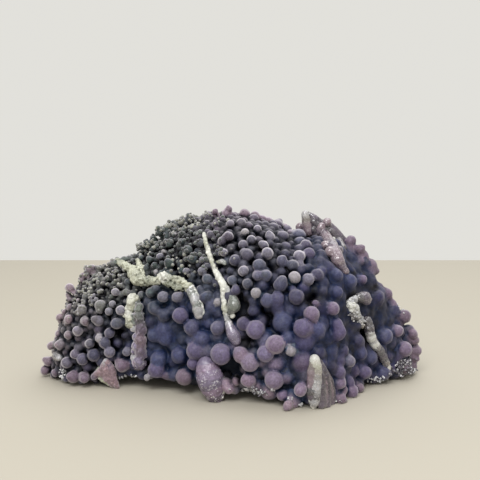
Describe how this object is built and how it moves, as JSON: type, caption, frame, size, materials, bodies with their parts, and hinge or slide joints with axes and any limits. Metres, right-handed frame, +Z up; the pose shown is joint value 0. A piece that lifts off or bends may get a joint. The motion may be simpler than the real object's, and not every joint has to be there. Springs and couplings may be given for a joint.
{
  "type": "grape agate",
  "caption": "Natural lump of purple botryoidal chalcedony: a low mound covered in grown-together round grapes, crossed by pale ridges and fingers, resting on a flat base.",
  "frame": {"origin": "middle of the stone's outline seen from above, in the plane of its flat base", "axes": "+X along the length, to the right as the best side is seen; -Y towards the viewer of that side; +Z up"},
  "size_m": [0.186, 0.0996, 0.0827],
  "materials": {
    "chalcedony": "satin"
  },
  "bodies": {
    "root": {"grape_agate": "chalcedony"}
  },
  "joints": []
}
